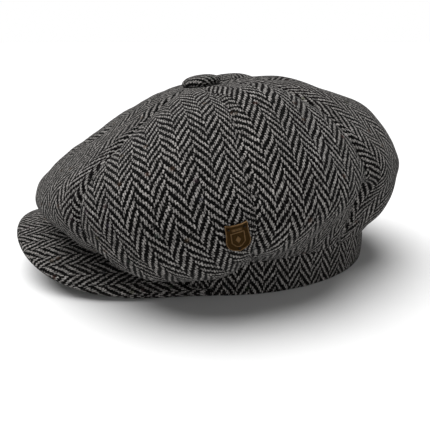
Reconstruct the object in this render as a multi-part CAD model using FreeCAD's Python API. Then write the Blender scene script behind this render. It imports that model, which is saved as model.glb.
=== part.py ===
import FreeCAD, Part
import math
import os

# Newsboy cap. Millimetres, +Z up, front of the cap towards -Y, wearer's left towards +X.
# The origin is the centre of the head opening, in the plane the back of the band stands on.

# Head opening and the rings sewn round it, from the head outwards.
head_half_width = 82.0
head_half_length = 101.3
sweatband_thickness = 1.0
stiffener_thickness = 0.8
band_cloth_thickness = 1.7
layer_gap = 0.15
band_height = 26.0
sweatband_height = 29.0
sweatband_foot = 0.6
foot_trim = 0.5

# Visor: a board bent to one shallow arch, between two cloth covers.
visor_corner_x = 85.6
visor_corner_y = -22.0
visor_reach = 133.0
visor_outline_power = 0.53
visor_arch_height = 28.5
board_thickness = 2.2
cover_thickness = 1.5
cover_gap = 0.1
visor_band_gap = 0.5
visor_clearance = 0.6

# Crown cloth and lining.
cloth_thickness = 1.7
lining_thickness = 0.4
seam_gap = 0.05
panel_count = 8
panel_shares = (0.0, 0.1, 0.27, 0.5, 0.73, 0.9, 1.0)
button_hole_radius = 5.0
crown_top_height = 122.0
crown_top_y = -18.5
crown_back_rise = 6.0
shoulder_shift = 0.4
widest_shift = 0.07
puff = 3.0
crown_band_gap = 0.3
droop_front = 8.9
droop_back = 0.5

# Crown profile, at the front, front quarter, side, back quarter and back.
shoulder_radius = (78.5, 79.3, 75.5, 65.5, 67.7)
shoulder_height = (92.0, 103.0, 125.6, 135.9, 128.8)
widest_radius = (152.0, 153.5, 137.0, 125.9, 128.7)
widest_height = (53.5, 70.0, 71.3, 70.1, 95.6)
lower_radius = (109.5, 115.0, 118.7, 107.0, 124.3)
lower_height = (41.5, 17.2, 32.4, 62.1, 41.3)
lining_fullness = 0.80

# Covered button on the crown.
button_radius = 13.5
button_height = 8.0
button_tilt = 7.0
button_lift = 1.4
button_cloth = 1.4
button_shank_radius = 1.8
button_shank_length = 8.6
washer_radius = 8.0
washer_thickness = 1.0

# Shield badge sewn to the wearer's left side.
badge_angle = 85.0
badge_travel = 0.582
badge_width = 12.4
badge_height = 15.6
badge_plate = 0.9
badge_rim_height = 0.5
badge_rim_width = 0.8
badge_roll = 6.0
badge_stand_off = 0.3
stitch_radius = 0.3

sweat_in = 0.0
sweat_out = sweat_in + sweatband_thickness
stiff_in = sweat_out + layer_gap
stiff_out = stiff_in + stiffener_thickness
band_in = stiff_out + layer_gap
band_out = band_in + band_cloth_thickness
visor_half = board_thickness / 2 + cover_thickness + cover_gap
panel_step = 2 * math.pi / panel_count
corner_half_width = (head_half_width + band_out) * math.sqrt(
    1 - (visor_corner_y / (head_half_length + band_out)) ** 2)


def vec(x, y, z):
    return FreeCAD.Vector(x, y, z)


def cosine_blend(values, angle):
    """Smooth left-right symmetric curve through values spaced evenly from front to back."""
    last = len(values) - 1
    total = 0.0
    for wave in range(last + 1):
        share = 0.0
        for step, value in enumerate(values):
            weight = 0.5 if step in (0, last) else 1.0
            share += weight * value * math.cos(wave * math.pi * step / last)
        share *= 2.0 / last
        if wave in (0, last):
            share *= 0.5
        total += share * math.cos(wave * angle)
    return total


def ring_point(turn, outset, z):
    """Point on the head ellipse grown by outset; turn 0 is the front, a quarter turn the left."""
    x = (head_half_width + outset) * math.sin(turn)
    y = -(head_half_length + outset) * math.cos(turn)
    return vec(x, y, z)


def band_radius(angle):
    across = math.sin(angle) / (head_half_width + band_out)
    along = math.cos(angle) / (head_half_length + band_out)
    return 1.0 / math.hypot(across, along)


def arch_rise(x):
    return visor_arch_height * max(0.0, 1 - (x / corner_half_width) ** 2)


def lift_at(x, y):
    """How far the lower edge rises above the table to follow the visor's arch."""
    if y > visor_corner_y:
        return 0.0
    return arch_rise(x)


def lift_by_turn(turn):
    edge = ring_point(turn, band_out, 0)
    return lift_at(edge.x, edge.y)


def lift_by_angle(angle):
    radius = band_radius(angle)
    return lift_at(radius * math.sin(angle), -radius * math.cos(angle))


def panel_swell(angle):
    """0 on a crown seam, 1 in the middle of a panel."""
    part = (angle % panel_step) / panel_step
    side = 1 - abs(2 * part - 1)
    return side * (2 - side)


def spline(poles):
    curve = Part.BSplineCurve()
    inner = len(poles) - 4
    knots = [step / (inner + 1.0) for step in range(inner + 2)]
    mults = [4] + [1] * inner + [4]
    curve.buildFromPolesMultsKnots(poles, mults, knots, False, 3)
    return curve


def meridian(angle, profile):
    """Curve from the button to the band, from (radius, height, share of the top's forward shift)."""
    poles = []
    for radius, height, shift in profile:
        x = radius * math.sin(angle)
        y = -radius * math.cos(angle) + crown_top_y * shift
        poles.append(vec(x, y, height))
    return spline(poles)


def crown_meridian(angle):
    back = (1 - math.cos(angle)) / 2
    swell = panel_swell(angle)
    droop = (droop_front + (droop_back - droop_front) * back) * swell
    shoulder = cosine_blend(shoulder_radius, angle)
    wide = cosine_blend(widest_radius, angle) + puff * swell
    edge = band_radius(angle) + crown_band_gap
    edge_height = band_height + lift_by_angle(angle) - cloth_thickness - 0.2
    profile = [
        (button_hole_radius, crown_top_height, 1.0),
        (0.4 * shoulder, crown_top_height + crown_back_rise * back, 1.0),
        (shoulder, cosine_blend(shoulder_height, angle) + 0.5 * puff * swell, shoulder_shift),
        (wide, cosine_blend(widest_height, angle), widest_shift),
        (cosine_blend(lower_radius, angle), cosine_blend(lower_height, angle) - droop, 0.0),
        (edge + 2.5, edge_height, 0.0),
        (edge, edge_height, 0.0),
    ]
    return meridian(angle, profile)


def lining_meridian(angle):
    back = (1 - math.cos(angle)) / 2
    shoulder = cosine_blend(shoulder_radius, angle)
    edge = band_radius(angle) - band_out + stiff_in + lining_thickness + 0.1
    foot = band_height + lift_by_angle(angle) + 0.2
    wide = lining_fullness * cosine_blend(widest_radius, angle)
    profile = [
        (button_hole_radius, crown_top_height - 4.5, 1.0),
        (0.4 * shoulder, crown_top_height - 5.5 + 0.8 * crown_back_rise * back, 1.0),
        (0.9 * shoulder, cosine_blend(shoulder_height, angle) - 10, shoulder_shift),
        (wide, cosine_blend(widest_height, angle), widest_shift),
        (edge + 6, foot + 20, 0.0),
        (edge, foot + 9, 0.0),
        (edge, foot, 0.0),
    ]
    return meridian(angle, profile)


def inside_point(curve, travel, angle, depth):
    """Point a cloth thickness inside the curve, square to it."""
    along = curve.tangent(travel)[0]
    round_ = vec(math.cos(angle), math.sin(angle), 0)
    inward = round_.cross(along)
    inward.normalize()
    return curve.value(travel) + inward * depth


def side_face(first, second):
    """Straight-ruled face between two curves that share their knots."""
    surface = Part.BSplineSurface()
    surface.buildFromPolesMultsKnots(
        [first.getPoles(), second.getPoles()], [2, 2], first.getMultiplicities(),
        [0.0, 1.0], first.getKnots(), False, False, 1, 3)
    return surface.toShape()


def side_faces(first, second):
    """Faces that join the four borders of two matching surfaces."""
    low_u, high_u, low_v, high_v = first.bounds()
    return [
        side_face(first.uIso(low_u), second.uIso(low_u)),
        side_face(first.uIso(high_u), second.uIso(high_u)),
        side_face(first.vIso(low_v), second.vIso(low_v)),
        side_face(first.vIso(high_v), second.vIso(high_v)),
    ]


def solid_from(faces):
    skin = Part.makeCompound(faces)
    skin.sewShape(0.005)
    solid = Part.makeSolid(Part.Shell(skin.Faces))
    if solid.Volume < 0:
        solid.reverse()
    return solid


def row_through(points, steps):
    """Smooth row through the points, reaching each one at its own step."""
    row = Part.BSplineCurve()
    row.interpolate(Points=points, Parameters=list(steps))
    return row


def cloth_surface(rows, shares):
    """Surface through the rows; its two side edges are the first and last rows themselves."""
    along = rows[0]
    columns = [row_through(list(column), shares) for column in zip(*[row.getPoles() for row in rows])]
    across = columns[0]
    poles = [list(line) for line in zip(*[column.getPoles() for column in columns])]
    surface = Part.BSplineSurface()
    surface.buildFromPolesMultsKnots(
        poles, across.getMultiplicities(), along.getMultiplicities(),
        across.getKnots(), along.getKnots(), False, False, 3, 3)
    return surface


def cloth_panel(index, make_meridian, thickness, steps):
    """One wedge of the crown, from the seam at index to the next one."""
    outer_rows = []
    inner_rows = []
    for share in panel_shares:
        angle = (index + share) * panel_step
        trim = seam_gap * (1 if share == 0.0 else -1 if share == 1.0 else 0)
        curve = make_meridian(angle)
        aside = vec(math.cos(angle), math.sin(angle), 0) * trim
        outside = [curve.value(step) + aside for step in steps]
        inside = [inside_point(curve, step, angle, thickness) + aside for step in steps]
        outer_rows.append(row_through(outside, steps))
        inner_rows.append(row_through(inside, steps))
    outer = cloth_surface(outer_rows, panel_shares)
    inner = cloth_surface(inner_rows, panel_shares)
    return solid_from([outer.toShape(), inner.toShape()] + side_faces(outer, inner))


def closed_edge(outset, height_of):
    """Closed edge round the head; height_of gives its height for each turn."""
    count = 48
    points = []
    for step in range(count):
        turn = 2 * math.pi * (step + 0.5) / count
        points.append(ring_point(turn, outset, height_of(turn)))
    curve = Part.BSplineCurve()
    curve.interpolate(points, PeriodicFlag=True)
    return curve.toShape()


def head_ring(inset, outset, low, high):
    """Strip standing round the head between two ellipses, from height low to height high."""
    inner_low = closed_edge(inset, low)
    inner_high = closed_edge(inset, high)
    outer_low = closed_edge(outset, low)
    outer_high = closed_edge(outset, high)
    faces = [
        Part.makeRuledSurface(outer_low, outer_high),
        Part.makeRuledSurface(inner_low, inner_high),
        Part.makeRuledSurface(inner_high, outer_high),
        Part.makeRuledSurface(inner_low, outer_low),
    ]
    return solid_from(faces)


def visor_sheet_point(x, rise):
    """Point at a distance above the visor's arched middle surface, on its cross-section."""
    height = visor_half + visor_clearance + arch_rise(x)
    slope = 0.0
    if abs(x) < corner_half_width:
        slope = -2 * visor_arch_height * x / corner_half_width ** 2
    lean = rise / math.hypot(1, slope)
    return vec(x - slope * lean, 0, height + lean)


def visor_slab(low, high):
    """Arched sheet between two distances above the visor's middle surface."""
    places = [12.0 * step for step in range(-8, 9)]
    lower_points = [visor_sheet_point(x, low) for x in places]
    upper_points = [visor_sheet_point(x, high) for x in places]
    lower = Part.BSplineCurve()
    lower.interpolate(lower_points)
    upper = Part.BSplineCurve()
    upper.interpolate(upper_points)
    left_end = Part.makeLine(lower_points[-1], upper_points[-1])
    right_end = Part.makeLine(lower_points[0], upper_points[0])
    wire = Part.Wire([lower.toShape(), left_end, upper.toShape(), right_end])
    return Part.Face(wire).extrude(vec(0, -200, 0))


def head_post(outset):
    """Upright post on the head outline, grown by outset."""
    outline = Part.Ellipse(vec(0, 0, 0), head_half_length + outset, head_half_width + outset)
    face = Part.Face(Part.Wire([outline.toShape()]))
    face.rotate(vec(0, 0, 0), vec(0, 0, 1), 90)
    face.translate(vec(0, 0, -30))
    return face.extrude(vec(0, 0, 120))


def visor_prism(inset, outset):
    """Upright prism on the visor's outline; inset pulls in the free edge, outset the sewn edge."""
    points = []
    half_steps = 9
    for step in range(-half_steps, half_steps + 1):
        turn = math.pi / 2 * step / half_steps
        x = (visor_corner_x - inset) * math.sin(turn)
        reach = (visor_reach - inset) * abs(math.cos(turn)) ** visor_outline_power
        points.append(vec(x, visor_corner_y - reach, -20))
    free_edge = Part.BSplineCurve()
    free_edge.interpolate(points)
    back_edge = Part.makeLine(points[-1], points[0])
    face = Part.Face(Part.Wire([free_edge.toShape(), back_edge]))
    return face.extrude(vec(0, 0, 90)).cut(head_post(band_out + visor_band_gap + outset))


def button_frame(shape):
    """Stand a part modelled at the origin on the sloping top of the crown."""
    shape.rotate(vec(0, 0, 0), vec(1, 0, 0), button_tilt)
    shape.translate(vec(0, crown_top_y, crown_top_height + button_lift))
    return shape


def dome(radius, height, rim):
    """Half of a button's section spun round: a short upright rim under a rounded top."""
    start = vec(0, 0, 0)
    foot = vec(radius, 0, 0)
    shoulder = vec(radius, 0, rim)
    haunch = vec(0.78 * radius, 0, rim + 0.62 * (height - rim))
    top = vec(0, 0, height)
    over = Part.BSplineCurve()
    over.interpolate([shoulder, haunch, top], InitialTangent=vec(0, 0, 1), FinalTangent=vec(-1, 0, 0))
    edges = [Part.makeLine(start, foot), Part.makeLine(foot, shoulder), over.toShape()]
    edges.append(Part.makeLine(top, start))
    return Part.Face(Part.Wire(edges)).revolve(start, vec(0, 0, 1), 360)


def shield_face(width, height, ears=True):
    """Shield lying flat, dipped top edge up the page, rounded point down."""
    flare = 0.5 if ears else 0.46
    side = [
        (flare, 0.5), (0.455, 0.3), (0.455, 0.1), (0.49, -0.1),
        (0.44, -0.28), (0.26, -0.42), (0.0, -0.5),
    ]
    right_points = [vec(width * x, height * y, 0) for x, y in side]
    left_points = [vec(-point.x, point.y, 0) for point in reversed(right_points)]
    right_side = Part.BSplineCurve()
    right_side.interpolate(right_points)
    left_side = Part.BSplineCurve()
    left_side.interpolate(left_points)
    dip = vec(0, height * 0.44, 0)
    crest = Part.Arc(left_points[-1], dip, right_points[0]).toShape()
    return Part.Face(Part.Wire([crest, right_side.toShape(), left_side.toShape()]))


def inner_shield_face(width, height):
    """Small straight-sided shield with a pointed foot."""
    corners = [
        (-0.5, 0.46), (0.5, 0.5), (0.5, -0.16), (0.24, -0.4),
        (0.0, -0.5), (-0.24, -0.4), (-0.5, -0.16), (-0.5, 0.46),
    ]
    return Part.Face(Part.makePolygon([vec(width * x, height * y, 0) for x, y in corners]))


def badge_frame(shape):
    """Lay a part modelled flat at the origin on the crown where the badge is sewn."""
    angle = math.radians(badge_angle)
    curve = crown_meridian(angle)
    spot = curve.value(badge_travel)
    down = curve.tangent(badge_travel)[0]
    nearby = crown_meridian(angle + 0.05).value(badge_travel)
    before = crown_meridian(angle - 0.05).value(badge_travel)
    across = nearby - before
    outward = across.cross(down) * -1
    outward.normalize()
    up = down * -1
    right = up.cross(outward)
    place = FreeCAD.Matrix(
        right.x, up.x, outward.x, spot.x + outward.x * badge_stand_off,
        right.y, up.y, outward.y, spot.y + outward.y * badge_stand_off,
        right.z, up.z, outward.z, spot.z + outward.z * badge_stand_off,
        0, 0, 0, 1)
    shape.rotate(vec(0, 0, 0), vec(0, 0, 1), badge_roll)
    return shape.transformGeometry(place)


def save(node, shape):
    shape.exportStep("parts/" + node + ".step")


def band_foot(turn):
    return lift_by_turn(turn) - foot_trim


def rim_top(turn):
    return band_height + lift_by_turn(turn)


def stiffener_foot(turn):
    return 1.0 + lift_by_turn(turn)


def stiffener_top(turn):
    return band_height - 0.4 + lift_by_turn(turn)


def sweat_foot(turn):
    return sweatband_foot + lift_by_turn(turn)


def sweat_top(turn):
    return sweatband_height + lift_by_turn(turn)


os.makedirs("parts", exist_ok=True)

crown_steps = (0.0, 0.1, 0.2, 0.3, 0.4, 0.5, 0.58, 0.66, 0.73, 0.8, 0.86, 0.91, 0.96, 1.0)
lining_steps = (0.0, 0.12, 0.25, 0.38, 0.5, 0.62, 0.74, 0.86, 1.0)
places = (
    "front_left", "fore_side_left", "rear_side_left", "back_left",
    "back_right", "rear_side_right", "fore_side_right", "front_right",
)
for index, place in enumerate(places):
    save("panel_" + place, cloth_panel(index, crown_meridian, cloth_thickness, crown_steps))
    save("lining_" + place, cloth_panel(index, lining_meridian, lining_thickness, lining_steps))

band = head_ring(band_in, band_out, band_foot, rim_top)
band = band.cut(Part.makeBox(400, 400, 50, vec(-200, -200, -50)))
save("outer_band", band)
save("band_stiffener", head_ring(stiff_in, stiff_out, stiffener_foot, stiffener_top))
save("sweatband", head_ring(sweat_in, sweat_out, sweat_foot, sweat_top))

under_bottom = -visor_half
under_top = under_bottom + cover_thickness
board_half = board_thickness / 2
board_inset = cover_thickness + cover_gap
outline = visor_prism(0, 0)
pocket = visor_prism(board_inset - cover_gap, -20)
save("visor_under_cover", outline.common(visor_slab(under_bottom, under_top)))
save("visor_board", visor_prism(board_inset, 0).common(visor_slab(-board_half, board_half)))
top_block = outline.common(visor_slab(under_top + cover_gap, visor_half))
hollow = pocket.common(visor_slab(-visor_half - 1, board_half + cover_gap))
save("visor_top_cover", top_block.cut(hollow))

cover_outside = dome(button_radius, button_height, 2.2)
cover_inside = dome(button_radius - button_cloth, button_height - button_cloth, 1.4)
cover_inside.translate(vec(0, 0, -0.01))
save("button_cover", button_frame(cover_outside.cut(cover_inside)))
shell = dome(button_radius - button_cloth - 0.1, button_height - button_cloth - 0.1, 1.3)
save("button_shell", button_frame(shell))
shank = Part.makeCylinder(button_shank_radius, button_shank_length, vec(0, 0, -button_shank_length))
save("button_shank", button_frame(shank))
washer = Part.makeCylinder(washer_radius, washer_thickness, vec(0, 0, -button_shank_length))
washer_hole = Part.makeCylinder(button_shank_radius + 0.05, 10, vec(0, 0, -10))
save("button_washer", button_frame(washer.cut(washer_hole)))

plate = shield_face(badge_width, badge_height).extrude(vec(0, 0, badge_plate + badge_rim_height))
well = shield_face(badge_width - 2 * badge_rim_width, badge_height - 2 * badge_rim_width)
well.translate(vec(0, 0, badge_plate))
plate = plate.cut(well.extrude(vec(0, 0, 2)))
hole_spots = (
    (-0.35 * badge_width, 0.34 * badge_height),
    (0.35 * badge_width, 0.34 * badge_height),
    (0.0, -0.405 * badge_height),
)
for x, y in hole_spots:
    plate = plate.cut(Part.makeCylinder(0.5, 5, vec(x, y, -1)))
save("badge_plate", badge_frame(plate))
emblem_low = vec(0, -0.1 * badge_height, badge_plate + 0.02)
emblem = inner_shield_face(0.54 * badge_width, 0.52 * badge_height)
emblem.translate(emblem_low)
emblem = emblem.extrude(vec(0, 0, 0.45))
groove = inner_shield_face(0.44 * badge_width, 0.43 * badge_height)
groove.translate(emblem_low + vec(0, 0, 0.2))
emblem = emblem.cut(groove.extrude(vec(0, 0, 1)))
lozenge = Part.makePolygon([vec(0, -2.2, 0), vec(1.7, 0, 0), vec(0, 2.2, 0), vec(-1.7, 0, 0), vec(0, -2.2, 0)])
lozenge = Part.Face(lozenge).extrude(vec(0, 0, 0.3))
lozenge.translate(emblem_low + vec(0, 0, 0.15))
save("badge_emblem", badge_frame(emblem.fuse(lozenge)))
for name, (x, y) in zip(("left", "right", "bottom"), hole_spots):
    thread = Part.makeCylinder(stitch_radius, badge_plate + 0.4, vec(x, y, -0.1))
    knot = Part.makeSphere(0.5, vec(x, y, badge_plate + 0.4))
    save("badge_stitch_" + name, badge_frame(thread.fuse(knot)))
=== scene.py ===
import math

import bpy
import numpy as np
from mathutils import Matrix, Vector


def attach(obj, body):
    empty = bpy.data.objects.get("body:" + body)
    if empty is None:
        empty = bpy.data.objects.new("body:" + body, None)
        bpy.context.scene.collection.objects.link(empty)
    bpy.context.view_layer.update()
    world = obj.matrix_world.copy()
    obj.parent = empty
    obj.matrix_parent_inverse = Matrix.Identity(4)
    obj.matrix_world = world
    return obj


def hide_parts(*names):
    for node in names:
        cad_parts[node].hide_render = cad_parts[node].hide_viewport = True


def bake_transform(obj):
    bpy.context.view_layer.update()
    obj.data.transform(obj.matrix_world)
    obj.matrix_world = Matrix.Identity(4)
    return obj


# Newsboy cap. The driving sizes below are in millimetres, and meshes are made in metres. They repeat the
# part's, but the button and badge are a fraction larger here, and the visor's covers a fraction thinner.
MM = 0.001

# Head opening and the rings round it: outsets from the opening, feet and heights.
head_half_width = 82.0
head_half_length = 101.3
sweatband_out = 1.0
sweatband_foot = 0.6
sweatband_height = 29.0
stiffener_in = 1.15
stiffener_out = 1.95
stiffener_foot = 1.0
stiffener_trim = 0.4
band_in = 2.1
band_out = 3.8
band_height = 26.0

# Visor.
visor_corner_x = 85.6
visor_corner_y = -22.0
visor_reach = 133.0
visor_outline_power = 0.53
visor_arch_height = 28.5
visor_half = 2.7
visor_clearance = 0.6
visor_band_gap = 0.5
cover_thickness = 1.4
board_thickness = 2.2
nose_dip = 4.0

# Crown and covered button.
cloth_thickness = 1.7
lining_thickness = 0.4
button_hole_radius = 5.0
crown_top_height = 122.0
crown_top_y = -18.5
crown_back_rise = 6.0
shoulder_shift = 0.4
widest_shift = 0.07
puff = 3.0
droop_front = 8.9
droop_back = 0.5
crown_band_gap = 0.3
crown_foot_gap = 0.2
foot_ledge = 2.5
lining_inset = 2.15
button_radius = 13.6
button_tilt = math.radians(7.0)
button_lift = 1.4

# Shield badge: place on the crown, turn, and stand-off from the cloth.
badge_angle = math.radians(85.0)
badge_travel = 0.582
badge_roll = math.radians(6.0)
badge_stand_off = 0.3
badge_width = 13.2
badge_height = 16.0

# Crown profile, at the front, front quarter, side, back quarter and back.
shoulder_radius = (78.5, 79.3, 75.5, 65.5, 67.7)
shoulder_height = (92.0, 103.0, 125.6, 135.9, 128.8)
widest_radius = (152.0, 153.5, 137.0, 125.9, 128.7)
widest_height = (53.5, 70.0, 71.3, 70.1, 95.6)
lower_radius = (109.5, 115.0, 118.7, 107.0, 124.3)
lower_height = (41.5, 17.2, 32.4, 62.1, 41.3)
lining_fullness = 0.80

# Tweed: light warp and black weft in a 2/2 herringbone.
end_pitch = 1.09
pick_pitch = 1.65
ends_per_column = 8

PLACES = (
    "front_left", "fore_side_left", "rear_side_left", "back_left",
    "back_right", "rear_side_right", "fore_side_right", "front_right",
)
GORE = 2 * math.pi / len(PLACES)

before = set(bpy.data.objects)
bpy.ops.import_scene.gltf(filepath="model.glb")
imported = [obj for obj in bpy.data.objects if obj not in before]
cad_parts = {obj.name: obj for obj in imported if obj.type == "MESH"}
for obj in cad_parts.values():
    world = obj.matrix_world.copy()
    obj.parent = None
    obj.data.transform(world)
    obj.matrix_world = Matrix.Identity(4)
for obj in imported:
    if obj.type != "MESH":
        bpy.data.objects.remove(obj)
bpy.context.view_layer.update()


# Shape formulas, the same as the part's.

def cosine_blend(values, angle):
    """Smooth left-right symmetric curve through values spaced evenly from front to back."""
    last = len(values) - 1
    total = np.zeros_like(angle)
    for wave in range(last + 1):
        share = 0.0
        for step, value in enumerate(values):
            weight = 0.5 if step in (0, last) else 1.0
            share += weight * value * math.cos(wave * math.pi * step / last)
        share *= (1.0 if wave in (0, last) else 2.0) / last
        total = total + share * np.cos(wave * angle)
    return total


def band_radius(angle):
    """Distance of the outer band's face from the centre, in a given direction."""
    across = np.sin(angle) / (head_half_width + band_out)
    along = np.cos(angle) / (head_half_length + band_out)
    return 1.0 / np.hypot(across, along)


corner_half_width = (head_half_width + band_out) * math.sqrt(
    1 - (visor_corner_y / (head_half_length + band_out)) ** 2)


def arch_rise(x):
    """Height of the visor's arch above its two corners."""
    return visor_arch_height * np.maximum(0.0, 1 - (x / corner_half_width) ** 2)


def lift_at(x, y):
    """How far the lower edge rises above the table to follow the visor's arch."""
    return np.where(y > visor_corner_y, 0.0, arch_rise(x))


def spline_weights(travel):
    """Weights of seven poles on a clamped cubic spline."""
    knots = np.array([0, 0, 0, 0, 0.25, 0.5, 0.75, 1, 1, 1, 1], float)
    place = np.clip(travel, 0, 1 - 1e-9)
    basis = [((place >= knots[i]) & (place < knots[i + 1])).astype(float) for i in range(10)]
    for degree in (1, 2, 3):
        nexts = []
        for i in range(len(basis) - 1):
            left = knots[i + degree] - knots[i]
            right = knots[i + degree + 1] - knots[i + 1]
            term = basis[i] * (place - knots[i]) / left if left > 0 else 0 * place
            if right > 0:
                term = term + basis[i + 1] * (knots[i + degree + 1] - place) / right
            nexts.append(term)
        basis = nexts
    return np.array(basis)


def meridian_grid(angle, travel, profile):
    """Points at every angle and travel, from rows of (radius, height, share of the top's forward shift)."""
    poles = []
    for radius, height, shift in profile:
        radius, height = radius + 0 * angle, height + 0 * angle
        poles.append(np.stack([
            radius * np.sin(angle), -radius * np.cos(angle) + crown_top_y * shift, height], -1))
    return np.einsum("pt,pac->atc", spline_weights(travel), np.array(poles))


def panel_swell(angle):
    """Nought at the seams and one in the middle of each gore."""
    part = (angle % GORE) / GORE
    side = 1 - np.abs(2 * part - 1)
    return side * (2 - side)


def edge_lift(angle):
    radius = band_radius(angle)
    return lift_at(radius * np.sin(angle), -radius * np.cos(angle))


def crown_grid(angle, travel):
    back = (1 - np.cos(angle)) / 2
    swell = panel_swell(angle)
    droop = (droop_front + (droop_back - droop_front) * back) * swell
    shoulder = cosine_blend(shoulder_radius, angle)
    edge = band_radius(angle) + crown_band_gap
    edge_height = band_height + edge_lift(angle) - cloth_thickness - crown_foot_gap
    return meridian_grid(angle, travel, [
        (button_hole_radius, crown_top_height, 1.0),
        (0.4 * shoulder, crown_top_height + crown_back_rise * back, 1.0),
        (shoulder, cosine_blend(shoulder_height, angle) + 0.5 * puff * swell, shoulder_shift),
        (cosine_blend(widest_radius, angle) + puff * swell, cosine_blend(widest_height, angle), widest_shift),
        (cosine_blend(lower_radius, angle), cosine_blend(lower_height, angle) - droop, 0.0),
        (edge + foot_ledge, edge_height, 0.0),
        (edge, edge_height, 0.0),
    ])


def lining_grid(angle, travel):
    back = (1 - np.cos(angle)) / 2
    shoulder = cosine_blend(shoulder_radius, angle)
    widest = lining_fullness * cosine_blend(widest_radius, angle)
    edge = band_radius(angle) - lining_inset
    foot = band_height + edge_lift(angle) + crown_foot_gap
    return meridian_grid(angle, travel, [
        (button_hole_radius, crown_top_height - 4.5, 1.0),
        (0.4 * shoulder, crown_top_height - 5.5 + 0.8 * crown_back_rise * back, 1.0),
        (0.9 * shoulder, cosine_blend(shoulder_height, angle) - 10, shoulder_shift),
        (widest, cosine_blend(widest_height, angle), widest_shift),
        (edge + 6, foot + 20, 0.0),
        (edge, foot + 9, 0.0),
        (edge, foot, 0.0),
    ])


# Mesh helpers.

def grid_normals(points):
    """Unit normals of a grid of points, first index round the cap and second down it."""
    sideways = np.gradient(points, axis=0)
    down = np.gradient(points, axis=1)
    normal = np.cross(down, sideways)
    return normal / np.maximum(np.linalg.norm(normal, axis=-1, keepdims=True), 1e-9)


def make_object(name, vertices, faces, cloth_uv, material):
    mesh = bpy.data.meshes.new(name)
    mesh.from_pydata((np.asarray(vertices) * MM).tolist(), [], faces)
    if cloth_uv is not None:
        layer = mesh.uv_layers.new(name="cloth")
        owners = np.empty(len(mesh.loops), int)
        mesh.loops.foreach_get("vertex_index", owners)
        layer.data.foreach_set("uv", np.asarray(cloth_uv, np.float32)[owners].ravel())
    mesh.polygons.foreach_set("use_smooth", [True] * len(mesh.polygons))
    mesh.materials.append(material)
    mesh.validate()
    obj = bpy.data.objects.new(name, mesh)
    bpy.context.scene.collection.objects.link(obj)
    return obj


def grid_faces(rows, columns, start=0, flip=False):
    faces = []
    for row in range(rows - 1):
        for column in range(columns - 1):
            a = start + row * columns + column
            b = a + columns
            face = (a, b, b + 1, a + 1)
            faces.append(face[::-1] if flip else face)
    return faces


def shell_object(name, outer, inner, uv, material):
    """Closed piece of cloth between two matching grids; the outer one faces out."""
    rows, columns = outer.shape[:2]
    count = rows * columns
    vertices = np.concatenate([outer.reshape(-1, 3), inner.reshape(-1, 3)])
    faces = grid_faces(rows, columns, flip=True) + grid_faces(rows, columns, count)
    index = np.arange(count).reshape(rows, columns)
    rim = list(index[0]) + list(index[1:, -1]) + list(index[-1, -2::-1]) + list(index[-2:0:-1, 0])
    for a, b in zip(rim, rim[1:] + rim[:1]):
        faces.append((int(a), int(b), int(b) + count, int(a) + count))
    return make_object(name, vertices, faces, np.concatenate([uv.reshape(-1, 2)] * 2), material)


def tube_object(name, sections, uv, material):
    """Closed piece swept through closed sections of equal length, capped at both ends."""
    rows, columns = sections.shape[:2]
    faces = []
    for row in range(rows - 1):
        for column in range(columns):
            a = row * columns + column
            b = row * columns + (column + 1) % columns
            faces.append((a, b, b + columns, a + columns))
    last = (rows - 1) * columns
    half = columns // 2
    for column in range(half - 1):
        opposite = columns - 1 - column
        first_cap = (column, opposite, opposite - 1, column + 1)
        if len(set(first_cap)) == 4:
            faces.append(first_cap)
            faces.append(tuple(last + i for i in first_cap[::-1]))
    return make_object(name, sections.reshape(-1, 3), faces, uv.reshape(-1, 2), material)


def ripples(points, seed, wavelength, spread=0.5, waves=14):
    """Smooth organic noise of unit size made of plane waves in mixed directions."""
    dice = np.random.default_rng(seed)
    total = np.zeros(points.shape[:-1])
    for _ in range(waves):
        direction = dice.normal(size=3)
        direction /= np.linalg.norm(direction)
        length = wavelength * math.exp(dice.uniform(-spread, spread))
        phase = dice.uniform(0, 2 * math.pi)
        total += np.sin(points @ direction * (2 * math.pi / length) + phase)
    return total / math.sqrt(waves / 2)


def smooth_step(value, low, high):
    part = np.clip((value - low) / (high - low), 0, 1)
    return part * part * (3 - 2 * part)


def mound(distance, width):
    """Smooth rise of unit height at distance nought, fading over the width."""
    return np.exp(-(distance / width) ** 2)


def running_length(points, axis):
    """Length along lines of points, from nought at the first."""
    step = np.linalg.norm(np.diff(points, axis=axis), axis=-1)
    pad = [(0, 0)] * step.ndim
    pad[axis] = (1, 0)
    return np.cumsum(np.pad(step, pad), axis=axis)


# Materials.

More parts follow.
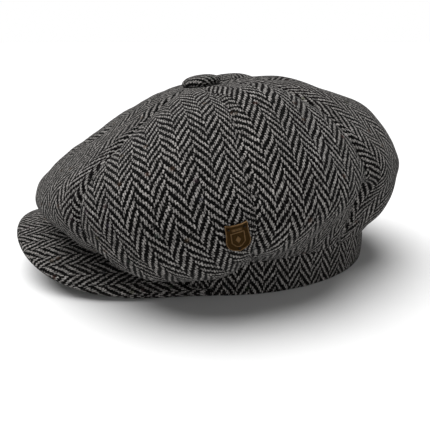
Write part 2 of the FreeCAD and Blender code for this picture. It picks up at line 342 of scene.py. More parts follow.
class Graph:
    """Short way to write a material's node tree."""

    def __init__(self, name):
        self.material = bpy.data.materials.new(name)
        self.material.use_nodes = True
        self.tree = self.material.node_tree
        self.shader = self.tree.nodes["Principled BSDF"]

    def node(self, kind, links=(), **settings):
        node = self.tree.nodes.new(kind)
        for key, value in settings.items():
            setattr(node, key, value)
        for socket, value in dict(links).items():
            self.put(node.inputs[socket], value)
        return node

    def put(self, socket, value):
        if isinstance(value, bpy.types.NodeSocket):
            self.tree.links.new(value, socket)
        else:
            socket.default_value = value

    def math(self, operation, *values):
        return self.node("ShaderNodeMath", enumerate(values), operation=operation).outputs[0]

    def mix(self, share, first, second):
        node = self.node("ShaderNodeMix", data_type="RGBA", clamp_factor=True)
        for socket, value in ((0, share), (6, first), (7, second)):
            self.put(node.inputs[socket], value)
        return node.outputs[2]

    def noise(self, vector, scale, detail=3.0, roughness=0.5):
        links = {"Vector": vector, "Scale": scale, "Detail": detail, "Roughness": roughness}
        return self.node("ShaderNodeTexNoise", links).outputs["Fac"]

    def wander(self, vector, scale, detail, reach):
        """Smooth random offset of up to half of reach on each axis."""
        links = {"Vector": vector, "Scale": scale, "Detail": detail}
        colour = self.node("ShaderNodeTexNoise", links).outputs["Color"]
        middle = (0.5, 0.5, 0.5)
        drift = self.node("ShaderNodeVectorMath", {0: colour, 1: middle}, operation="SUBTRACT").outputs[0]
        return self.node("ShaderNodeVectorMath", {0: drift, 3: reach}, operation="SCALE").outputs[0]

    def ramp(self, value, stops):
        node = self.node("ShaderNodeValToRGB", {0: value})
        ramp = node.color_ramp
        ramp.elements[0].position, ramp.elements[0].color = stops[0]
        ramp.elements[1].position, ramp.elements[1].color = stops[-1]
        for place, colour in stops[1:-1]:
            ramp.elements.new(place).color = colour
        return node.outputs[0]

    def bump(self, height, distance, strength):
        links = {"Height": height, "Distance": distance, "Strength": strength}
        return self.node("ShaderNodeBump", links).outputs[0]

    def surface(self, **values):
        for name, value in values.items():
            self.put(self.shader.inputs[name.replace("_", " ")], value)

    def uv(self):
        return self.node("ShaderNodeUVMap", uv_map="cloth").outputs[0]

    def position(self):
        return self.node("ShaderNodeTexCoord").outputs["Object"]


def grey(value, warm=0.0):
    """Grey with a little more red than blue."""
    return (value * (1 + warm), value, value * (1 - warm), 1.0)


def hump(g, value, power):
    """Rounded rise over the span 0 to 1 of a value, nought at both ends."""
    centred = g.math("SUBTRACT", g.math("MULTIPLY", value, 2.0), 1.0)
    return g.math("SUBTRACT", 1.0, g.math("POWER", g.math("ABSOLUTE", centred), power))


def tweed_material():
    """Herringbone wool: slanting light floats on black, fuzzy and uneven, with a few coloured flecks."""
    g = Graph("herringbone_tweed")
    cloth = g.uv()
    for drift in (g.wander(g.uv(), 0.11, 2.0, 2.6), g.wander(g.uv(), 0.9, 1.0, 1.3)):
        cloth = g.node("ShaderNodeVectorMath", {0: cloth, 1: drift}, operation="ADD").outputs[0]
    split = g.node("ShaderNodeSeparateXYZ", {0: cloth})

    # Each crossing's place in the repeat of four; every second column is mirrored and shifted by two picks.
    u = g.math("DIVIDE", split.outputs[0], end_pitch)
    v = g.math("DIVIDE", split.outputs[1], pick_pitch)
    end, pick = g.math("FLOOR", u), g.math("FLOOR", v)
    in_end, in_pick = g.math("FRACT", u), g.math("FRACT", v)
    column = g.math("FLOOR", g.math("DIVIDE", end, float(ends_per_column)))
    turned = g.math("FLOORED_MODULO", column, 2.0)
    slot = g.math("FLOORED_MODULO", end, float(ends_per_column))
    mirrored = g.math("SUBTRACT", float(ends_per_column - 1), slot)
    step = g.math("ADD", g.math("MULTIPLY", mirrored, turned),
                  g.math("MULTIPLY", slot, g.math("SUBTRACT", 1.0, turned)))
    across = g.math("ADD", g.math("MULTIPLY", g.math("SUBTRACT", 1.0, in_end), turned),
                    g.math("MULTIPLY", in_end, g.math("SUBTRACT", 1.0, turned)))
    broken = g.math("MULTIPLY_ADD", turned, 2.0, pick)
    phase = g.math("FLOORED_MODULO", g.math("ADD", step, broken), 4.0)
    warp_up = g.math("LESS_THAN", phase, 1.5)

    # Each yarn is a rounded float over two of the others.
    along_warp = g.math("DIVIDE", g.math("ADD", phase, in_pick), 2.0)
    along_weft = g.math("DIVIDE", g.math("ADD", g.math("SUBTRACT", phase, 2.0), across), 2.0)
    warp_height = g.math("MULTIPLY", hump(g, in_end, 2.0), hump(g, along_warp, 3.0))
    weft_height = g.math("MULTIPLY", hump(g, in_pick, 2.0), hump(g, along_weft, 3.0))
    weft_share = g.math("SUBTRACT", 1.0, warp_up)
    warp_height = g.math("MAXIMUM", g.math("MULTIPLY", warp_height, warp_up), 0.0)
    weft_height = g.math("MAXIMUM", g.math("MULTIPLY", weft_height, weft_share), 0.0)
    height = g.math("ADD", warp_height, g.math("MULTIPLY", weft_height, 0.8))

    # Brightness by single fibres, by tufts of them, by wider patches, and by yarn.
    fibre = g.noise(g.uv(), 1.1, 4.0, 0.75)
    patch = g.noise(g.uv(), 0.05, 2.0)
    tuft = g.node("ShaderNodeMapRange", {0: g.noise(g.uv(), 0.5, 3.0, 0.7), 1: 0.35, 2: 0.65}).outputs[0]
    key = g.node("ShaderNodeCombineXYZ", {0: end, 1: g.math("FLOOR", g.math("DIVIDE", v, 4.0))}).outputs[0]
    yarn = g.node("ShaderNodeTexWhiteNoise", {"Vector": key}, noise_dimensions="2D").outputs["Value"]
    light = g.math("MULTIPLY_ADD", yarn, 0.45, 0.55)
    light = g.math("MULTIPLY", light, g.math("MULTIPLY_ADD", fibre, 1.5, 0.2))
    light = g.math("MULTIPLY", light, g.math("MULTIPLY_ADD", tuft, 1.0, 0.4))
    light = g.math("MULTIPLY", light, g.math("MULTIPLY_ADD", patch, 0.5, 0.76))
    white = g.mix(light, grey(0.0), grey(0.29, 0.03))
    black = g.mix(g.math("MULTIPLY", fibre, tuft), grey(0.0005), grey(0.008, 0.02))

    # The light yarn covers the black one up to an edge that its fibres make ragged.
    ragged = g.math("ADD", fibre, g.math("MULTIPLY", tuft, 0.2))
    edge_fuzz = g.math("ADD", warp_height, g.math("MULTIPLY_ADD", ragged, 1.1, -0.66))
    cover = g.node("ShaderNodeMapRange", {0: edge_fuzz, 1: 0.12, 2: 0.60}).outputs[0]
    colour = g.mix(cover, black, white)

    # A few dyed flecks.
    fleck = g.node("ShaderNodeTexVoronoi", {"Vector": g.uv(), "Scale": 0.075}, voronoi_dimensions="2D")
    near = g.node("ShaderNodeMapRange", {0: fleck.outputs["Distance"], 1: 0.15, 2: 0.05}).outputs[0]
    fleck_colour = g.node("ShaderNodeSeparateColor", {0: fleck.outputs["Color"]})
    rare = g.math("GREATER_THAN", fleck_colour.outputs[0], 0.72)
    dye = g.ramp(fleck_colour.outputs[1], [
        (0.0, (0.080, 0.026, 0.020, 1)), (0.35, (0.045, 0.048, 0.018, 1)),
        (0.6, (0.020, 0.045, 0.026, 1)), (0.8, (0.040, 0.028, 0.055, 1)), (1.0, (0.085, 0.048, 0.022, 1))])
    dye_share = g.math("MULTIPLY", g.math("MULTIPLY", near, rare), g.math("MULTIPLY_ADD", cover, 0.45, 0.2))
    colour = g.mix(dye_share, colour, dye)

    # Slightly warmer patches.
    hue = g.noise(g.uv(), 0.022, 2.0)
    warmer = g.node("ShaderNodeMix", data_type="RGBA", blend_type="MULTIPLY")
    for socket, value in ((0, 1.0), (6, colour), (7, (1.07, 0.99, 0.93, 1))):
        g.put(warmer.inputs[socket], value)
    colour = g.mix(g.math("MULTIPLY", hue, 0.45), colour, warmer.outputs[2])

    lint = g.noise(g.position(), 900.0, 2.0, 0.6)
    relief = g.math("ADD", height, g.math("MULTIPLY", g.math("ADD", fibre, lint), 0.35))
    g.surface(Base_Color=colour, Roughness=0.96, Specular_IOR_Level=0.03, Sheen_Weight=0.05,
              Sheen_Roughness=0.32, Normal=g.bump(relief, 0.0005, 0.75))
    return g.material


def satin_material():
    g = Graph("black_satin")
    thread = g.node("ShaderNodeTexWave", {"Vector": g.uv(), "Scale": 0.9, "Distortion": 0.6, "Detail": 1.0},
                    bands_direction="DIAGONAL").outputs["Fac"]
    cloud = g.noise(g.uv(), 0.06, 3.0)
    colour = g.mix(cloud, (0.010, 0.010, 0.012, 1), (0.030, 0.030, 0.034, 1))
    g.surface(Base_Color=colour, Roughness=g.math("MULTIPLY_ADD", cloud, 0.15, 0.30),
              Normal=g.bump(thread, 0.0001, 0.25), Sheen_Weight=0.1)
    return g.material


def twill_tape_material():
    g = Graph("cotton_twill_tape")
    rib = g.node("ShaderNodeTexWave", {"Vector": g.uv(), "Scale": 0.5, "Distortion": 0.8, "Detail": 2.0},
                 bands_direction="DIAGONAL").outputs["Fac"]
    wear = g.noise(g.uv(), 0.2, 4.0)
    colour = g.mix(g.math("MULTIPLY", rib, wear), (0.016, 0.016, 0.018, 1), (0.06, 0.06, 0.066, 1))
    g.surface(Base_Color=colour, Roughness=0.85, Sheen_Weight=0.15, Normal=g.bump(rib, 0.0002, 0.6))
    return g.material


def buckram_material():
    g = Graph("buckram")
    place = g.position()
    open_weave = g.node("ShaderNodeTexVoronoi", {"Vector": place, "Scale": 700.0}).outputs["Distance"]
    colour = g.mix(open_weave, (0.66, 0.63, 0.55, 1), (0.45, 0.42, 0.36, 1))
    g.surface(Base_Color=colour, Roughness=0.9, Normal=g.bump(open_weave, 0.0002, 0.6))
    return g.material


def board_material():
    g = Graph("moulded_board")
    grain = g.noise(g.position(), 320.0, 4.0)
    colour = g.mix(grain, (0.70, 0.68, 0.63, 1), (0.80, 0.78, 0.74, 1))
    g.surface(Base_Color=colour, Roughness=g.math("MULTIPLY_ADD", grain, 0.2, 0.4),
              Normal=g.bump(grain, 0.0001, 0.4))
    return g.material


def stamped_metal_material():
    g = Graph("stamped_metal")
    brushed = g.noise(g.position(), 500.0, 4.0)
    colour = g.mix(brushed, (0.48, 0.48, 0.49, 1), (0.66, 0.66, 0.66, 1))
    g.surface(Base_Color=colour, Metallic=1.0, Roughness=g.math("MULTIPLY_ADD", brushed, 0.2, 0.3),
              Normal=g.bump(brushed, 0.00005, 0.4))
    return g.material


def thread_material():
    g = Graph("polyester_thread")
    twist = g.node("ShaderNodeTexWave", {"Vector": g.position(), "Scale": 900.0, "Distortion": 1.0},
                   bands_direction="DIAGONAL").outputs["Fac"]
    colour = g.mix(twist, (0.006, 0.005, 0.005, 1), (0.022, 0.018, 0.015, 1))
    g.surface(Base_Color=colour, Roughness=0.9, Specular_IOR_Level=0.1, Normal=g.bump(twist, 0.0001, 0.7))
    return g.material


def brass_material():
    g = Graph("antique_brass")
    place = g.position()
    tarnish = g.noise(place, 420.0, 5.0, 0.6)
    grain = g.noise(place, 2400.0, 3.0)
    raised = g.node("ShaderNodeAttribute", attribute_name="raised").outputs["Fac"]
    worn = g.math("MULTIPLY", raised, g.math("MULTIPLY_ADD", tarnish, 0.8, 0.35))
    colour = g.mix(tarnish, (0.004, 0.0018, 0.0003, 1), (0.024, 0.012, 0.0018, 1))
    colour = g.mix(worn, colour, (0.15, 0.090, 0.042, 1))
    relief = g.math("ADD", tarnish, g.math("MULTIPLY", grain, 0.5))
    g.surface(Base_Color=colour, Metallic=1.0, Roughness=g.math("MULTIPLY_ADD", tarnish, 0.25, 0.34),
              Normal=g.bump(relief, 0.00012, 0.6))
    return g.material


tweed = tweed_material()
satin = satin_material()
twill_tape = twill_tape_material()
buckram = buckram_material()
board = board_material()
stamped_metal = stamped_metal_material()
thread = thread_material()
brass = brass_material()


# Crown.

# How far each gore's grain leans from its centreline, in degrees, as it was cut.
grain_lean = (-12, -17, 11, 3, -4, -9, 15, 9)
across_steps = 60
down_steps = 150


def gore_shares():
    """Places across a gore, closer together near its two seams."""
    even = np.linspace(0, 1, across_steps + 1)
    return 0.45 * even + 0.55 * (0.5 - 0.5 * np.cos(math.pi * even))


def gore_surface(index, grid):
    """One gore of a crown or lining: points, normals, cloth coordinates, length down from the button,
    distance to the nearer seam, and travel. A column past each seam gives both sides the same normals."""
    travel = np.linspace(0, 1, down_steps + 1)
    shares = gore_shares()
    shares = np.concatenate([[-shares[1]], shares, [1 + shares[1]]])
    points = grid((index + shares) * GORE, travel)
    normals = grid_normals(points)[1:-1]
    length = running_length(points, 1)[1:-1]
    points = points[1:-1]
    arc = running_length(points, 0)
    middle = across_steps // 2
    sideways = arc - arc[middle]
    spine = points[middle]
    direction = np.gradient(spine, axis=0)
    direction /= np.linalg.norm(direction, axis=1, keepdims=True)
    down = running_length(spine[None], 1)[0]
    along = down[None] + np.einsum("atc,tc->at", points - spine[None], direction)
    seam_distance = np.minimum(arc, arc[-1:] - arc)
    return points, normals, np.stack([sideways, along], -1), length, seam_distance, travel


def crown_spot(angle, travel):
    """One point of the smooth crown."""
    return crown_grid(np.array([angle]), np.array([travel]))[0, 0]


def dents(points):
    """Tucks where the seams meet the band, with gathers fanning out of them, and at the rear of the
    wearer's left a slack hollow with a full lobe beside it."""
    total = np.zeros(points.shape[:-1])
    for index in range(len(PLACES)):
        angle = index * GORE
        foot = crown_spot(angle, 0.92)
        away = points - foot
        distance = np.linalg.norm(away, axis=-1)
        sideways = away[..., 0] * math.cos(angle) + away[..., 1] * math.sin(angle)
        fan = np.sin(9 * np.arctan2(away[..., 2], np.abs(sideways) + 0.5) + index)
        total -= 0.6 * mound(distance, 6)
        total += 0.45 * fan * mound(distance - 10, 7)
    for gores_round, travel, height, width in ((2.96, 0.66, -9.0, 10), (3.40, 0.77, 4.4, 15)):
        away = np.linalg.norm(points - crown_spot(gores_round * GORE, travel), axis=-1)
        total += height * mound(away, width)
    return total


def crown_relief(points, length, seam_distance, travel):
    """Height added to the smooth crown: seam valleys, puckers beside them, dents and soft folds."""
    fade = smooth_step(travel, 0.02, 0.10) * (1 - 0.65 * smooth_step(travel, 0.72, 0.95))
    valley = -1.4 * mound(seam_distance, 1.6) - 1.5 * mound(seam_distance, 9)
    pucker = 0.22 * np.sin(length * 0.9 + 2.0 * ripples(points, 5, 60)) * mound(seam_distance, 5)
    folds = 0.60 * ripples(points, 11, 62) + 0.28 * ripples(points, 12, 24)
    folds = folds * smooth_step(travel, 0.05, 0.2) * (1 - smooth_step(travel, 0.86, 0.97))
    return (valley + pucker) * fade[None] + dents(points) + folds


def make_gore(index, place):
    """One wedge of the crown, its cloth coordinates and its smooth points before the relief."""
    points, normals, uv, length, seam_distance, travel = gore_surface(index, crown_grid)
    lean = math.radians(grain_lean[index])
    turn = np.array([[math.cos(lean), -math.sin(lean)], [math.sin(lean), math.cos(lean)]])
    uv = uv @ turn + np.array([37.0 * index + 4.9, 23.0 * (index % 3)])
    outer = points + normals * crown_relief(points, length, seam_distance, travel)[..., None]
    inner = outer - grid_normals(outer) * cloth_thickness
    gore = shell_object("crown_gore_" + place, outer, inner, uv, tweed)
    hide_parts("panel_" + place)
    return gore, uv, points


def make_lining(index, place):
    """One wedge of the lining, its cloth coordinates and its smooth points before the relief."""
    points, normals, uv, length, seam_distance, travel = gore_surface(index, lining_grid)
    fade = smooth_step(travel, 0.05, 0.2) * (1 - smooth_step(travel, 0.85, 0.98))
    relief = (0.9 * ripples(points, 31, 38) - 0.6) * fade[None] - 0.5 * mound(seam_distance, 1.5)
    outer = points + normals * relief[..., None]
    inner = outer - grid_normals(outer) * lining_thickness
    lining = shell_object("lining_gore_" + place, outer, inner, uv, satin)
    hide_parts("lining_" + place)
    return lining, uv, points


def flat_size(uv, points):
    """Width, length and area in metres of a flat cut, from a grid's cloth coordinates and points."""
    width = (uv[..., 0].max() - uv[..., 0].min()) * MM
    length = (uv[..., 1].max() - uv[..., 1].min()) * MM
    side_a = points[1:, :-1] - points[:-1, :-1]
    side_b = points[:-1, 1:] - points[:-1, :-1]
    area = np.linalg.norm(np.cross(side_a, side_b), axis=-1).sum() * MM * MM
    return (round(width, 4), round(length, 4)), round(area, 6)


def follow_visor(obj):
    """Bakes the piece's place into its mesh; the piece is not attached to the visor or the head."""
    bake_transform(obj)


for index, place in enumerate(PLACES):
    for maker, rests in ((make_gore, ["outer_band_cloth"]), (make_lining, ["sweatband_tape"])):
        piece, cloth, points = maker(index, place)
        size, area = flat_size(cloth, points)
        if "front" in place or "fore" in place:
            follow_visor(piece)
        else:
            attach(piece, "cap")


# Bands round the head.

def ring_object(name, profile, material, belly, seed):
    """Strip round the head from a closed section of (outset, height), joined at the centre back,
    and the length that it is cut to."""
    half_join = 0.0006
    turns = np.linspace(-math.pi + half_join, math.pi - half_join, 361)
    section = np.array(profile)
    low, high = section[:, 1].min(), section[:, 1].max()
    run = running_length(section[None], 1)[0]
    outset = section[:, 0][None] + 0 * turns[:, None]
    height = section[:, 1][None] + 0 * turns[:, None]
    middle = np.sin(math.pi * np.clip((height - low) / (high - low), 0, 1))
    outset = outset + belly * middle
    x = (head_half_width + outset) * np.sin(turns)[:, None]
    y = -(head_half_length + outset) * np.cos(turns)[:, None]
    edge_x = (head_half_width + band_out) * np.sin(turns)
    edge_y = -(head_half_length + band_out) * np.cos(turns)
    z = height + lift_at(edge_x, edge_y)[:, None]
    points = np.stack([x, y, z], -1)
    if seed is not None:
        wave = 0.35 * ripples(points, seed, 45) * middle
        scale = 1 + wave / np.hypot(x, y)
        points = np.stack([x * scale, y * scale, z], -1)
    around = running_length(np.stack([edge_x, edge_y], -1)[None], 1)[0]
    uv = np.stack([around[:, None] + 0 * height, run[None] + 0 * height], -1)
    centre = (section[:, 0].min() + section[:, 0].max()) / 2
    middle_x = (head_half_width + centre) * np.sin(turns)
    middle_y = (head_half_length + centre) * np.cos(turns)
    path = np.stack([middle_x, middle_y, z[:, 0]], -1)
    return tube_object(name, points, uv, material), running_length(path[None], 1)[0, -1]


def rounded_strip(inside, outside, low, high, steps=10):
    """Closed section of a strip with rounded long edges, starting at its inner foot."""
    middle = (inside + outside) / 2
    half = (outside - inside) / 2
    section = []
    for angle in np.linspace(math.pi, 0, 7):
        section.append((middle + half * math.cos(angle), low + half - half * math.sin(angle)))
    for share in np.linspace(0, 1, steps + 1)[1:-1]:
        section.append((outside, low + half + share * (high - low - 2 * half)))
    for angle in np.linspace(0, math.pi, 7):
        section.append((middle + half * math.cos(angle), high - half + half * math.sin(angle)))
    for share in np.linspace(1, 0, steps + 1)[1:-1]:
        section.append((inside, low + half + share * (high - low - 2 * half)))
    return section


for name, node, slot, rests, inside, outside, foot, top, cloth, belly, seed in (
        ("outer_band_cloth", "outer_band", "tweed", "band_buckram",
         band_in, band_out, 0.0, band_height, tweed, 0.35, 41),
        ("sweatband_tape", "sweatband", "sweatband", "band_buckram",
         0.0, sweatband_out, sweatband_foot, sweatband_height, twill_tape, 0.0, 42),
        ("band_buckram", "band_stiffener", "interfacing", "outer_band_cloth",
         stiffener_in, stiffener_out, stiffener_foot, band_height - stiffener_trim, buckram, 0.0, None)):
    ring, length = ring_object(name, rounded_strip(inside, outside, foot, top), cloth, belly, seed)
    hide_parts(node)
    follow_visor(ring)


# Visor.

def visor_outline(turn):
    x = visor_corner_x * np.sin(turn)
    y = visor_corner_y - visor_reach * np.abs(np.cos(turn)) ** visor_outline_power
    return np.stack([x, y], -1)


def sewn_edge(x):
    wide = head_half_width + band_out + visor_band_gap
    long = head_half_length + band_out + visor_band_gap
    return np.stack([x, -long * np.sqrt(np.maximum(0, 1 - (x / wide) ** 2))], -1)


def on_arch(flat, rise):
    """Point above the arched sheet, from its place seen from above and its distance from the middle."""
    x = flat[..., 0]
    inside = np.abs(x) < corner_half_width
    slope = np.where(inside, -2 * visor_arch_height * x / corner_half_width ** 2, 0.0)
    lean = rise / np.hypot(1, slope)
    nose = smooth_step(-flat[..., 1], 100.0, 160.0) * np.maximum(0, 1 - (x / corner_half_width) ** 2)
    z = visor_half + visor_clearance + arch_rise(x) + lean - nose_dip * nose
    return np.stack([x - slope * lean, flat[..., 1], z], -1)


def arch_length(x):
    bend = 2 * visor_arch_height / corner_half_width ** 2
    return 0.5 * (x * np.sqrt(1 + (bend * x) ** 2) + np.arcsinh(bend * x) / bend)


# Points round the free edge, closer together near the corners.
turns = np.linspace(-math.pi / 2, math.pi / 2, 241)
turns = turns - 0.09 * np.sin(2 * turns)
outline = visor_outline(turns)
tangent = np.gradient(outline, axis=0)
outward = np.stack([tangent[:, 1], -tangent[:, 0]], -1)
outward /= np.linalg.norm(outward, axis=1, keepdims=True)
sewn_half_width = 84.3
back_edge = sewn_edge(np.clip(outline[:, 0], -sewn_half_width, sewn_half_width))
gap = np.linalg.norm(outline - back_edge, axis=1)
roll = np.minimum(visor_half, 0.45 * gap)
flat_edge = outline - outward * roll[:, None]


def visor_cover(name, top, last_angle):
    """One cover and its flat size and area: flat part from the sewn edge, then a roll round the board's
    edge down to the last angle, and back inside."""
    sign = 1.0 if top else -1.0
    rows, cloth = [], []
    flats = np.linspace(0, 1, 46)
    for share in flats:
        spot = back_edge + (flat_edge - back_edge) * share
        rows.append(on_arch(spot, sign * visor_half))
        cloth.append(spot)
    angles = np.radians(np.linspace(90, last_angle, 12))[1:]
    for angle in angles:
        spot = flat_edge + outward * (roll * math.cos(angle))[:, None]
        rows.append(on_arch(spot, sign * visor_half * math.sin(angle)))
        cloth.append(flat_edge + outward * (roll * (math.pi / 2 - angle))[:, None])
    inner_roll = np.maximum(roll - cover_thickness, 0.2 * roll)
    for angle in angles[::-1]:
        spot = flat_edge + outward * (inner_roll * math.cos(angle))[:, None]
        rows.append(on_arch(spot, sign * (visor_half - cover_thickness) * math.sin(angle)))
        cloth.append(flat_edge + outward * (roll * (math.pi / 2 - angle))[:, None])
    for share in flats[::-1]:
        spot = back_edge + (flat_edge - back_edge) * share
        rows.append(on_arch(spot, sign * (visor_half - cover_thickness)))
        cloth.append(spot)
    sections = np.array(rows).transpose(1, 0, 2)
    spots = np.array(cloth).transpose(1, 0, 2)
    uv = np.stack([arch_length(spots[..., 0]) + 4.9, -spots[..., 1]], -1)
    outer_rows = len(flats) + len(angles)
    size, area = flat_size(uv[:, :outer_rows], sections[:, :outer_rows])
    if top:
        sections, uv = sections[::-1], uv[::-1]
    return tube_object(name, sections, uv, tweed), size, area


for name, node, top, last_angle in (
        ("visor_top_cloth", "visor_top_cover", True, -8),
        ("visor_under_cloth", "visor_under_cover", False, 14)):
    piece, size, area = visor_cover(name, top, last_angle)
    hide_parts(node)
    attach(piece, "visor")


def visor_board_mesh():
    """Thin board inside the covers, with a rounded free edge."""
    half = board_thickness / 2
    rows = []
    board_edge = outline - outward * np.minimum(1.6 + half, 0.49 * gap)[:, None]
    flats = np.linspace(0, 1, 40)
    for share in flats:
        rows.append(on_arch(back_edge + (board_edge - back_edge) * share, half))
    for angle in np.radians(np.linspace(90, -90, 9))[1:-1]:
        bulge = np.minimum(half, 0.3 * gap)[:, None] * math.cos(angle)
        rows.append(on_arch(board_edge + outward * bulge, half * math.sin(angle)))
    for share in flats[::-1]:
        rows.append(on_arch(back_edge + (board_edge - back_edge) * share, -half))
    sections = np.array(rows).transpose(1, 0, 2)[::-1]
    return tube_object("visor_board_sheet", sections, sections[..., :2], board)


board_piece = visor_board_mesh()
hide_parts("visor_board")
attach(board_piece, "visor")


# Covered button.

def button_cloth():
    """Closed cover of the button: a dome, its turned side and its gathered underside."""
    spins = np.linspace(0, 2 * math.pi, 97)[:-1]
    pleats = 16
    rim_height, dome_height = 2.0, 4.6
    profile = []
    for angle in np.linspace(0, math.pi / 2, 26):
        profile.append((button_radius * math.sin(angle) ** 0.85, rim_height + dome_height * math.cos(angle)))
    for share in np.linspace(0, 1, 9)[1:]:
        profile.append((button_radius - share ** 2, rim_height - 1.9 * share))
    for radius in (11.6, 10.0, 8.0):
        profile.append((radius, 0.15))
    profile = np.array(profile)
    run = running_length(profile[None], 1)[0]
    rough = np.random.default_rng(7).uniform(0.6, 1.4, pleats)
    just_over_a_turn = 6.2832
    rough = rough[(spins * pleats / just_over_a_turn).astype(int) % pleats]
    waves = np.sin(pleats * spins + 0.6 * np.sin(3 * spins)) * rough
    rows, cloth = [], []
    for (radius, height), length in zip(profile, run):
        around = radius + 0.35 * smooth_step(length, 10.0, 19.0) * waves
        rows.append(np.stack([around * np.cos(spins), around * np.sin(spins), height + 0 * spins], -1))
        cloth.append(np.stack([length * np.cos(spins), length * np.sin(spins)], -1))
    # The first ring has no radius, so that it becomes one vertex at the top.
    count = len(spins)
    vertices = np.array(rows).reshape(-1, 3)[count - 1:]
    vertices[0] = (0, 0, profile[0, 1])
    coords = np.array(cloth).reshape(-1, 2)[count - 1:]
    coords[0] = (0, 0)
    faces = []
    for spin in range(count):
        faces.append((0, 1 + spin, 1 + (spin + 1) % count))
    for row in range(len(profile) - 2):
        for spin in range(count):
            a = 1 + row * count + spin
            b = 1 + row * count + (spin + 1) % count
            faces.append((a, a + count, b + count, b))
    last = 1 + (len(profile) - 2) * count
    faces.append(tuple(last + spin for spin in range(count)))
    tilt = Matrix.Rotation(button_tilt, 3, "X")
    vertices = vertices @ np.array(tilt).T + np.array([0, crown_top_y, crown_top_height + button_lift])
    return make_object("button_cloth", vertices, faces, coords + np.array([2.4, 1.0]), tweed)


button = button_cloth()
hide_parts("button_cover")
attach(button, "cap")


# Badge.

def badge_axes():
    """Origin of the badge and its axes right, up and out, lying on the crown as in the part."""
    small_step, small_turn = 0.0005, 0.05
    down = (crown_spot(badge_angle, badge_travel + small_step)
            - crown_spot(badge_angle, badge_travel - small_step))
    across = (crown_spot(badge_angle + small_turn, badge_travel)
              - crown_spot(badge_angle - small_turn, badge_travel))
    out = -np.cross(across, down)
    out /= np.linalg.norm(out)
    up = -down / np.linalg.norm(down)
    right = np.cross(up, out)
    turned_right = right * math.cos(badge_roll) + up * math.sin(badge_roll)
    turned_up = up * math.cos(badge_roll) - right * math.sin(badge_roll)
    return crown_spot(badge_angle, badge_travel) + badge_stand_off * out, turned_right, turned_up, out


def shield_edge(count):
    """Points round a shield of unit width and height, from the middle of its dipped top edge."""
    side = np.array([
        (0.0, 0.45), (0.22, 0.455), (0.36, 0.485), (0.42, 0.5), (0.465, 0.49), (0.48, 0.44), (0.47, 0.3),
        (0.475, 0.12), (0.51, -0.05), (0.515, -0.18), (0.44, -0.33), (0.26, -0.44), (0.0, -0.5)])
    run = running_length(side[None], 1)[0]
    even = np.linspace(0, run[-1], count // 2 + 1)
    half_edge = np.stack([np.interp(even, run, side[:, 0]), np.interp(even, run, side[:, 1])], -1)
    mirror = half_edge[-2:0:-1] * np.array([-1, 1])
    return np.concatenate([half_edge, mirror])


def edge_distance(points, corners):
    """Distance from points to a closed line of corners."""
    best = np.full(points.shape[:-1], 1e9)
    for a, b in zip(corners, np.roll(corners, -1, axis=0)):
        along = np.clip(((points - a) @ (b - a)) / ((b - a) @ (b - a)), 0, 1)
        best = np.minimum(best, np.linalg.norm(points - (a + along[..., None] * (b - a)), axis=-1))
    return best


def badge_relief(flat, rim_distance):
    """Height of the badge's face: rim, small shield and lozenge, top bar with pellets, thread holes."""
    x, y = flat[..., 0], flat[..., 1]
    small = np.array([
        (-0.5, 0.46), (0.5, 0.5), (0.5, -0.16), (0.24, -0.4), (0, -0.5), (-0.24, -0.4), (-0.5, -0.16)])
    small = small * np.array([7.2, 8.4]) + np.array([0, -1.2])
    lozenge = np.abs(x) / 1.7 + np.abs(y + 1.1) / 2.4
    bar_middle = 4.35
    bar = np.maximum(np.abs(x) / 2.9, np.abs(y - bar_middle) / 0.85)
    steps = [
        (rim_distance, 0.55, 0.40, 0.75), (rim_distance, -0.3, 0.0, 0.22),
        (edge_distance(flat, small), 0.42, 0.20, 0.45), (lozenge, 0.38, 0.75, 1.1), (bar, 0.22, 0.85, 1.1)]
    for pellet_x in (-1.6, 0.0, 1.6):
        steps.append((np.hypot(x - pellet_x, y - bar_middle), 0.22, 0.25, 0.6))
    for hole_x, hole_y in ((-4.34, 5.3), (4.34, 5.3), (0.0, -6.32)):
        steps.append((np.hypot(x - hole_x, y - hole_y), -0.6, 0.40, 0.62))
    height = 0.85
    for distance, rise, near, far in steps:
        height = height + rise * (1 - smooth_step(distance, near, far))
    return height


def badge_metal():
    """Closed shield: rings of points shrinking from its edge to a middle point, and a flat back."""
    count = 200
    edge = shield_edge(count) * np.array([badge_width, badge_height])
    middle = np.array([0.0, -0.4])
    shares = 1 - np.linspace(0, 1, 64)[:-1] ** 0.9
    flat = middle + (edge - middle)[None] * shares[:, None, None]
    height = badge_relief(flat, edge_distance(flat, edge))
    top = np.concatenate([flat, height[..., None]], -1).reshape(-1, 3)
    foot = np.concatenate([edge, np.zeros((count, 1))], -1)
    middle_height = badge_relief(middle[None], np.array([5.0]))[0]
    centre = np.array([[*middle, middle_height], [*middle, 0.0]])
    flat_points = np.concatenate([top, foot, centre])
    origin, right, up, out = badge_axes()
    points = origin + flat_points[:, :1] * right + flat_points[:, 1:2] * up + flat_points[:, 2:] * out
    rings = len(shares)
    faces = []
    for spin in range(count):
        following = (spin + 1) % count
        for ring in range(rings - 1):
            a, b = ring * count + spin, ring * count + following
            faces.append((a, a + count, b + count, b))
        last = (rings - 1) * count
        faces.append((last + spin, rings * count + count, last + following))
        faces.append((rings * count + spin, spin, following, rings * count + following))
        faces.append((rings * count + following, rings * count + count + 1, rings * count + spin))
    plate = make_object("badge_shield", points, faces, None, brass)
    raised = plate.data.attributes.new("raised", "FLOAT", "POINT")
    raised_share = np.clip((flat_points[:, 2] - 0.8) / 0.6, 0, 1)
    raised.data.foreach_set("value", raised_share.astype(np.float32))
    return plate


badge = badge_metal()
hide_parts("badge_plate", "badge_emblem")
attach(badge, "cap")


# Pieces that keep their CAD shape.

def paint(node, material):
    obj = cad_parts[node]
    obj.data.materials.clear()
    obj.data.materials.append(material)


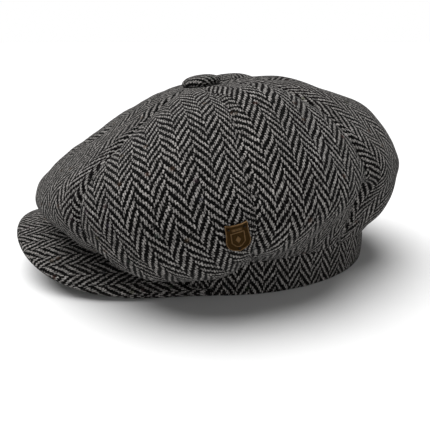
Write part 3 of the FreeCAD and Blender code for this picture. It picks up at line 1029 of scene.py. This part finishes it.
paint("button_shell", stamped_metal)
paint("button_washer", stamped_metal)
paint("button_shank", thread)
for side in ("left", "right", "bottom"):
    paint("badge_stitch_" + side, thread)


# Studio.

def floor_material():
    g = Graph("studio_floor")
    speck = g.noise(g.position(), 40.0, 3.0)
    colour = g.mix(speck, (0.68, 0.68, 0.68, 1), (0.70, 0.70, 0.70, 1))
    g.surface(Base_Color=colour, Roughness=0.95, Specular_IOR_Level=0.1)
    return g.material


half_floor = 20000.0
floor_height = -0.4
corners = [(x * half_floor, y * half_floor, floor_height) for x, y in ((-1, -1), (1, -1), (1, 1), (-1, 1))]
floor = make_object("studio_floor", corners, [(0, 1, 2, 3)], None, floor_material())

bpy.context.scene.view_settings.view_transform = "Standard"

# Plain white surroundings that light the cap less than they show behind it.
world = bpy.data.worlds.new("studio")
bpy.context.scene.world = world
world.use_nodes = True
sky = world.node_tree
sky.nodes["Background"].inputs[0].default_value = (1.0, 1.0, 1.0, 1)
path = sky.nodes.new("ShaderNodeLightPath")
level = sky.nodes.new("ShaderNodeMapRange")
level.inputs[3].default_value = 0.12
level.inputs[4].default_value = 1.0
sky.links.new(path.outputs["Is Camera Ray"], level.inputs[0])
sky.links.new(level.outputs[0], sky.nodes["Background"].inputs[1])


def soft_light(name, toward, strength):
    """Very wide, soft and even light from the given direction."""
    lamp = bpy.data.lights.new(name, "SUN")
    lamp.angle = math.radians(60)
    lamp.energy = strength
    obj = bpy.data.objects.new(name, lamp)
    obj.rotation_euler = (-Vector(toward)).to_track_quat("-Z", "Y").to_euler()
    bpy.context.scene.collection.objects.link(obj)


soft_light("key", (-0.12, -0.30, 1.0), 5.1)
soft_light("fill", (1.0, 0.40, 0.06), 1.45)

view_azimuth = math.radians(82.3)
view_elevation = math.radians(22.1)
view_distance = 0.407
back = Vector((
    math.sin(view_azimuth) * math.cos(view_elevation),
    -math.cos(view_azimuth) * math.cos(view_elevation),
    math.sin(view_elevation)))
lens = bpy.data.cameras.new("camera")
lens.lens = 42.6
lens.shift_x = -0.0298
lens.shift_y = 0.0712
lens.clip_start = 0.01
camera = bpy.data.objects.new("camera", lens)
camera.location = back * view_distance
camera.rotation_mode = "QUATERNION"
camera.rotation_quaternion = (-back).to_track_quat("-Z", "Y")
bpy.context.scene.collection.objects.link(camera)
bpy.context.scene.camera = camera
